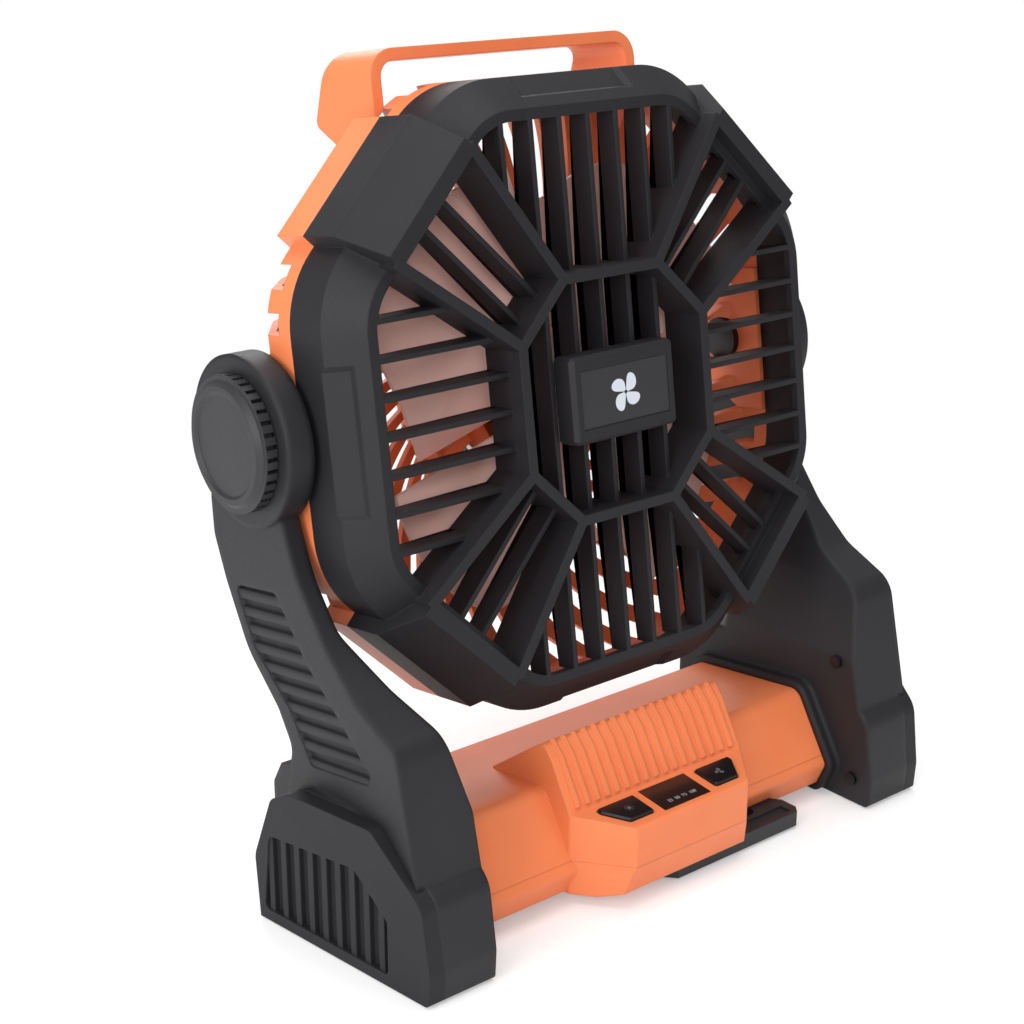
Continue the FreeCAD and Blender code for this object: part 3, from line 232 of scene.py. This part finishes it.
# steel, turned or drawn: its fine grain makes the gloss uneven
def metalMaterial(name, look):
    material, tree, shader, coords = startMaterial(name, {"Metallic": 1.0, "Base Color": linear(look["colour"])})
    grain = addNode(tree, "ShaderNodeTexNoise",
                    {"Scale": 1 / (look["grain"] * mm), "Detail": noise["softDetail"],
                     "Roughness": noise["roughness"]}, {"Vector": coords})
    gloss = addNode(tree, "ShaderNodeMapRange", {"To Min": look["rough"][0], "To Max": look["rough"][1]},
                    {"Value": grain.outputs["Fac"]})
    tree.links.new(gloss.outputs["Result"], shader.inputs["Roughness"])
    return material


# a flat, dense coat with tiny specks
def coatMaterial(name, look):
    material, tree, shader, coords = startMaterial(name, {"IOR": look["refraction"], "Roughness": look["rough"]})
    addTones(tree, shader, coords, look, noise["fineDetail"])
    return material


pinkBlade = bladeMaterial()
clearRing = clearMaterial()
drawnSteel = metalMaterial("steelDrawn", {"colour": "#b9b9bb", "rough": (0.25, 0.4), "grain": 0.8})
blackSteel = metalMaterial("steelBlackened", {"colour": "#3a3a3c", "rough": (0.35, 0.5), "grain": 0.6})
# silicone dome with yellow phosphor, switched off
chipYellow = coatMaterial("chipPhosphor", {
    "colour": "#f2cf5c", "deep": "#e3b83c", "patch": 0.6, "refraction": 1.41, "rough": 0.3})
# pad-printed inks, slightly softer than the plastic under them, each a step dimmer than the last
whiteInk = coatMaterial("inkWhite", {
    "colour": "#cfd3dd", "deep": "#c3c7d1", "patch": 0.5, "refraction": 1.45, "rough": 0.5})
figureInk = coatMaterial("inkDimWhite", {
    "colour": "#b9bcc4", "deep": "#adb0b8", "patch": 0.5, "refraction": 1.45, "rough": 0.5})
greyInk = coatMaterial("inkPaleGrey", {
    "colour": "#5a5c62", "deep": "#505258", "patch": 0.5, "refraction": 1.45, "rough": 0.5})
# the shade inside a screw's cross
recessDark = coatMaterial("recessShadow", {
    "colour": "#101011", "deep": "#0c0c0d", "patch": 0.5, "refraction": 1.45, "rough": 0.5})
print("materials ready")


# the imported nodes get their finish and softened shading

shading = {"sharpFrom": 28}  # degrees between two faces, past which their edge stays sharp


# joins the loose triangles and keeps only real edges sharp
def shadingGroup():
    group = bpy.data.node_groups.new("smoothKeepEdges", "GeometryNodeTree")
    group.interface.new_socket("Geometry", in_out="INPUT", socket_type="NodeSocketGeometry")
    group.interface.new_socket("Geometry", in_out="OUTPUT", socket_type="NodeSocketGeometry")
    start = addNode(group, "NodeGroupInput")
    merged = addNode(group, "GeometryNodeMergeByDistance", {"Distance": mergeWithin},
                     {"Geometry": start.outputs["Geometry"]})
    angle = addNode(group, "GeometryNodeInputMeshEdgeAngle")
    flat = addNode(group, "FunctionNodeCompare", {"B": math.radians(shading["sharpFrom"])},
                   {"A": angle.outputs["Unsigned Angle"]}, data_type="FLOAT", operation="LESS_EQUAL")
    edges = addNode(group, "GeometryNodeSetShadeSmooth", None,
                    {"Geometry": merged.outputs["Geometry"], "Shade Smooth": flat.outputs["Result"]},
                    domain="EDGE")
    faces = addNode(group, "GeometryNodeSetShadeSmooth", {"Shade Smooth": True},
                    {"Geometry": edges.outputs["Geometry"]}, domain="FACE")
    addNode(group, "NodeGroupOutput", None, {"Geometry": faces.outputs["Geometry"]})
    return group


smoothKeepEdges = shadingGroup()


def softenShading(piece):
    shade = piece.modifiers.new("smoothKeepEdges", "NODES")
    shade.node_group = smoothKeepEdges


nodeFinish = {
    "front_grille": blackAbs, "arm_left": armAbs, "arm_right": armAbs,
    "pod_cover_left": blackAbs, "pod_cover_right": blackAbs,
    "pivot_hub_left": blackAbs, "pivot_hub_right": blackAbs,
    "badge_plate": knobAbs, "light_button": keyAbs, "fan_button": keyAbs, "charge_socket": keyAbs,
    "knob_left": knobAbs, "knob_right": knobAbs, "hanging_loop": knobAbs,
    "rear_shell": orangeAbs, "carry_handle": orangeAbs,
    "base_upper_shell": orangeAbs, "base_lower_shell": orangeAbs,
    "lamp_lens": clearRing, "display_window": smokeWindow, "fan_blades": pinkBlade, "shaft_cap": pinkBlade,
    "motor_shaft": drawnSteel, "pivot_bolts": blackSteel, "loop_pin": drawnSteel, "motor": drawnSteel,
    "arm_screws": blackSteel, "base_screws": blackSteel, "motor_screws": blackSteel,
    "led_strip": stripWhite, "led_chips": chipYellow, "foot_pads": padRubber,
    "battery_cells": filmBlue, "battery_cradle": keyAbs, "control_board": boardGreen,
}


def finishNodes():
    for name, material in nodeFinish.items():
        nodes[name].data.materials.clear()
        nodes[name].data.materials.append(material)
        softenShading(nodes[name])


finishNodes()
print("nodes finished")


# the grille with slats shallower than its ring and spokes, so that the air path shows between them

grille = {"slatBack": 20.5, "shownBack": 15.5, "near": 0.05}


def addGrille():
    bm = bmesh.new()
    bm.from_mesh(nodes["front_grille"].data)
    toHead = headPlace.inverted()
    for vert in bm.verts:
        place = toHead @ vert.co
        if abs(place.y - grille["slatBack"] * mm) < grille["near"] * mm:
            place.y = grille["shownBack"] * mm
            vert.co = headPlace @ place
    mesh = bpy.data.meshes.new("frontGrilleShown")
    bm.to_mesh(mesh)
    bm.free()
    shown = addPiece("frontGrilleShown", mesh, blackAbs, "head")
    softenShading(shown)
    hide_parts("front_grille")


addGrille()
print("grille added")


# print and small marks: thin flat shapes that stand on a face

ink = {"badgeThick": 0.1, "keyThick": 0.05}


# turns flat outlines, in millimetres, into one thin solid on a face
def addMark(name, outlines, place, material, body, thick):
    bm = bmesh.new()
    for outline in outlines:
        bm.faces.new([bm.verts.new((u * mm, v * mm, 0)) for u, v in outline])
    raised = bmesh.ops.extrude_face_region(bm, geom=bm.faces[:])["geom"]
    tops = [item for item in raised if isinstance(item, bmesh.types.BMVert)]
    bmesh.ops.translate(bm, verts=tops, vec=(0, 0, thick * mm))
    bmesh.ops.recalc_face_normals(bm, faces=bm.faces[:])
    bmesh.ops.transform(bm, matrix=place, verts=bm.verts[:])
    mesh = bpy.data.meshes.new(name)
    bm.to_mesh(mesh)
    bm.free()
    addPiece(name, mesh, material, body)


# one leaf of a fan sign: a lobe whose tip sweeps forward
def leafOutline(sign, startDegrees):
    outline = []
    for i in range(sign["steps"] + 1):
        share = i / sign["steps"]
        swell = math.sin(math.pi * share) ** sign["fullness"]
        radius = sign["inner"] + (sign["outer"] - sign["inner"]) * swell
        angle = math.radians(startDegrees + sign["spread"] * share + sign["sweep"] * (radius / sign["outer"]) ** 2)
        outline.append((radius * math.cos(angle), radius * math.sin(angle)))
    return outline


def fanSign(sign):
    return [leafOutline(sign, 360 / sign["leaves"] * i) for i in range(sign["leaves"])]


# the sign on the badge plate, a plain four-leaf fan
badgeSign = {"leaves": 4, "inner": 0.9, "outer": 7.2, "spread": 78, "sweep": 22, "fullness": 0.4, "steps": 28,
             "faceDepth": -2.2}


def addBadgeSign():
    face = headPlace @ facePlace(Vector((0, badgeSign["faceDepth"] * mm, 0)), (1, 0, 0), (0, 0, 1))
    addMark("badgeFanSign", fanSign(badgeSign), face, whiteInk, "head", ink["badgeThick"])


# the keys carry a small fan on the right and a small lamp with rays on the left
keySign = {"leaves": 3, "inner": 0.35, "outer": 2.0, "spread": 88, "sweep": 30, "fullness": 0.5, "steps": 16}
lampSign = {"bulb": 0.8, "bulbSteps": 20, "rays": 8, "rayStart": 1.25, "rayEnd": 1.9, "rayWidth": 0.25}


def lampOutlines():
    turns = [2 * math.pi * i / lampSign["bulbSteps"] for i in range(lampSign["bulbSteps"])]
    outlines = [[(lampSign["bulb"] * math.cos(turn), lampSign["bulb"] * math.sin(turn)) for turn in turns]]
    for i in range(lampSign["rays"]):
        turn = 2 * math.pi * i / lampSign["rays"]
        along = Vector((math.cos(turn), math.sin(turn)))
        side = Vector((-along.y, along.x)) * lampSign["rayWidth"] / 2
        start, end = along * lampSign["rayStart"], along * lampSign["rayEnd"]
        outlines.append([tuple(corner) for corner in (start - side, end - side, end + side, start + side)])
    return outlines


def keyPlace(side):
    origin = windowFace + Vector((side * panel["keySide"] * mm, 0, 0)) + panelUp * panel["keyProud"] * mm
    return facePlace(origin, (1, 0, 0), panelBack)


def addKeySigns():
    addMark("fanKeySign", fanSign(keySign), keyPlace(1), greyInk, "fan_key", ink["keyThick"])
    addMark("lampKeySign", lampOutlines(), keyPlace(-1), greyInk, "light_key", ink["keyThick"])


# the charge marks along the front of the display
display = {"words": "25  50  75  100", "height": 2.3, "thinner": 0.03, "across": 0.4, "towardsFront": 3.6,
           "thick": 0.04}


def addDisplayFigures():
    curve = bpy.data.curves.new("displayFigures", "FONT")
    curve.body = display["words"]
    curve.size = display["height"] * mm
    curve.offset = -display["thinner"] * mm
    curve.align_x = "CENTER"
    curve.align_y = "CENTER"
    curve.extrude = display["thick"] * mm / 2
    letters = bpy.data.objects.new("displayLetters", curve)
    bpy.context.scene.collection.objects.link(letters)
    bpy.context.view_layer.update()
    mesh = bpy.data.meshes.new_from_object(letters.evaluated_get(bpy.context.evaluated_depsgraph_get()))
    bpy.data.objects.remove(letters)
    origin = windowFace + Vector((display["across"] * mm, 0, 0)) - panelBack * display["towardsFront"] * mm
    mesh.transform(facePlace(origin + panelUp * display["thick"] * mm / 2, (1, 0, 0), panelBack))
    mesh.materials.clear()
    addPiece("displayFigures", mesh, figureInk, "stand")


addBadgeSign()
addKeySigns()
addDisplayFigures()
print("signs added")


# the cross recess of each screw, as a dark cross of painted shade on its head

screw = {"reach": 1.7, "width": 0.75, "thick": 0.04, "flat": 0.02}


def addCross(name, origin, u, v, body):
    r, w = screw["reach"], screw["width"] / 2
    outline = [(r, -w), (r, w), (w, w), (w, r), (-w, r), (-w, w),
               (-r, w), (-r, -w), (-w, -w), (-w, -r), (w, -r), (w, -w)]
    addMark(name, [outline], facePlace(origin, u, v), recessDark, body, screw["thick"])


# the loose parts of a grouped node, each as a list of its points
def looseParts(nodeName):
    bm = bmesh.new()
    bm.from_mesh(nodes[nodeName].data)
    bmesh.ops.remove_doubles(bm, verts=bm.verts[:], dist=mergeWithin)
    seen = set()
    parts = []
    for first in bm.verts:
        if first in seen:
            continue
        seen.add(first)
        part = [first]
        for vert in part:
            for edge in vert.link_edges:
                other = edge.other_vert(vert)
                if other not in seen:
                    seen.add(other)
                    part.append(other)
        parts.append([vert.co.copy() for vert in part])
    bm.free()
    return sorted(parts, key=lambda points: tuple(round(c, 5) for c in min(points, key=tuple)))


# each part as (lowest, highest) corner
def partBoxes(nodeName):
    for points in looseParts(nodeName):
        yield (Vector([min(p[i] for p in points) for i in range(3)]),
               Vector([max(p[i] for p in points) for i in range(3)]))


# the middle of each part's end face along a direction
def partEnds(nodeName, direction):
    for points in looseParts(nodeName):
        furthest = max(p.dot(direction) for p in points)
        face = [p for p in points if furthest - p.dot(direction) < screw["flat"] * mm]
        yield sum(face, Vector()) / len(face)


def addCrosses():
    for i, (low, high) in enumerate(partBoxes("arm_screws")):
        side = 1 if low.x > 0 else -1
        inner = low.x if side > 0 else high.x
        addCross("armScrewCross" + str(i), Vector((inner, (low.y + high.y) / 2, (low.z + high.z) / 2)),
                 (0, -side, 0), (0, 0, 1), "stand")
    for i, (low, high) in enumerate(partBoxes("base_screws")):
        addCross("baseScrewCross" + str(i), Vector(((low.x + high.x) / 2, (low.y + high.y) / 2, low.z)),
                 (1, 0, 0), (0, -1, 0), "stand")
    turned = headPlace.to_3x3()  # the motor's screws face back and lean with the head
    for i, end in enumerate(partEnds("motor_screws", turned @ Vector((0, 1, 0)))):
        addCross("motorScrewCross" + str(i), end, (-1, 0, 0), turned @ Vector((0, 0, 1)), "head")


addCrosses()
print("screw crosses added")


# floor, light and camera

studio = {"worldStrength": 0.45, "floorSize": 40.0,
          "keyLeft": {"power": 12.5, "size": (0.9, 0.9), "place": (-1.25, -0.3, 0.7), "target": (0, 0, 0.15)},
          "fillFront": {"power": 6.4, "size": (0.5, 0.4), "place": (-0.85, -1.05, 0.72), "target": (0, 0, 0.17)},
          "rimBack": {"power": 8.0, "size": (0.9, 0.6), "place": (0.6, 1.1, 0.9), "target": (0, 0, 0.15)},
          "softTop": {"power": 9.8, "size": (0.9, 0.9), "place": (0, 0, 1.4), "target": (0, 0, 0.1)}}

paper = {"colour": "#ffffff", "deep": "#fbfbfb", "patch": 3.0, "rough": 0.9,
         "shadowNear": 0.12, "shadowFar": 0.42, "whiteNear": 0.25}


# 1 where the camera looks straight or through something clear
def cameraSees(tree):
    path = addNode(tree, "ShaderNodeLightPath")
    seen = addNode(tree, "ShaderNodeMath", None,
                   {0: path.outputs["Is Camera Ray"], 1: path.outputs["Is Transmission Ray"]}, operation="MAXIMUM")
    return seen.outputs["Value"]


# white paper: it takes the soft contact shadow near the fan and fades to plain white further out
def paperMaterial():
    material, tree, shader, coords = startMaterial("paperSweep", {"Roughness": paper["rough"]})
    addTones(tree, shader, coords, paper, noise["fineDetail"])
    white = addNode(tree, "ShaderNodeEmission", {"Color": (1, 1, 1, 1), "Strength": 1.0})
    distance = addNode(tree, "ShaderNodeVectorMath", None, {0: coords}, operation="LENGTH")
    fade = addNode(tree, "ShaderNodeMapRange",
                   {"From Min": paper["shadowNear"], "From Max": paper["shadowFar"],
                    "To Min": paper["whiteNear"], "To Max": 1.0},
                   {"Value": distance.outputs["Value"]})
    amount = addNode(tree, "ShaderNodeMath", None, {0: fade.outputs["Result"], 1: cameraSees(tree)},
                     operation="MULTIPLY")
    blend = addNode(tree, "ShaderNodeMixShader", None,
                    {0: amount.outputs["Value"], 1: shader.outputs["BSDF"], 2: white.outputs["Emission"]})
    tree.links.new(blend.outputs["Shader"], tree.nodes["Material Output"].inputs["Surface"])
    return material


def addFloor():
    bm = bmesh.new()
    bmesh.ops.create_grid(bm, x_segments=1, y_segments=1, size=studio["floorSize"])
    mesh = bpy.data.meshes.new("studioFloor")
    bm.to_mesh(mesh)
    bm.free()
    mesh.materials.append(paperMaterial())
    floor = bpy.data.objects.new("studioFloor", mesh)
    bpy.context.scene.collection.objects.link(floor)


def addWorld():
    world = bpy.data.worlds.new("studioWorld")
    world.use_nodes = True
    tree = world.node_tree
    level = addNode(tree, "ShaderNodeMapRange", {"To Min": studio["worldStrength"], "To Max": 1.0},
                    {"Value": cameraSees(tree)})
    background = tree.nodes["Background"]
    background.inputs["Color"].default_value = (1, 1, 1, 1)
    tree.links.new(level.outputs["Result"], background.inputs["Strength"])
    bpy.context.scene.world = world


def addLamp(name):
    look = studio[name]
    data = bpy.data.lights.new(name, "AREA")
    data.energy = look["power"]
    data.shape = "RECTANGLE"
    data.size, data.size_y = look["size"]
    lamp = bpy.data.objects.new(name, data)
    lamp.location = look["place"]
    ahead = Vector(look["target"]) - Vector(look["place"])
    lamp.rotation_euler = ahead.to_track_quat("-Z", "Y").to_euler()
    bpy.context.scene.collection.objects.link(lamp)


photoCamera = {"lens": 66.9, "sensor": 36.0, "place": (-0.44736, -0.50775, 0.36410),
               "ahead": (0.59973, 0.72959, -0.32868)}


def addCamera():
    data = bpy.data.cameras.new("photoCamera")
    data.sensor_width = photoCamera["sensor"]
    data.lens = photoCamera["lens"]
    camera = bpy.data.objects.new("photoCamera", data)
    camera.location = photoCamera["place"]
    camera.rotation_euler = Vector(photoCamera["ahead"]).to_track_quat("-Z", "Y").to_euler()
    bpy.context.scene.collection.objects.link(camera)
    bpy.context.scene.camera = camera


addFloor()
addWorld()
for lampName in ("keyLeft", "fillFront", "rimBack", "softTop"):
    addLamp(lampName)
addCamera()
bpy.context.scene.view_settings.view_transform = "Standard"
print("studio ready")
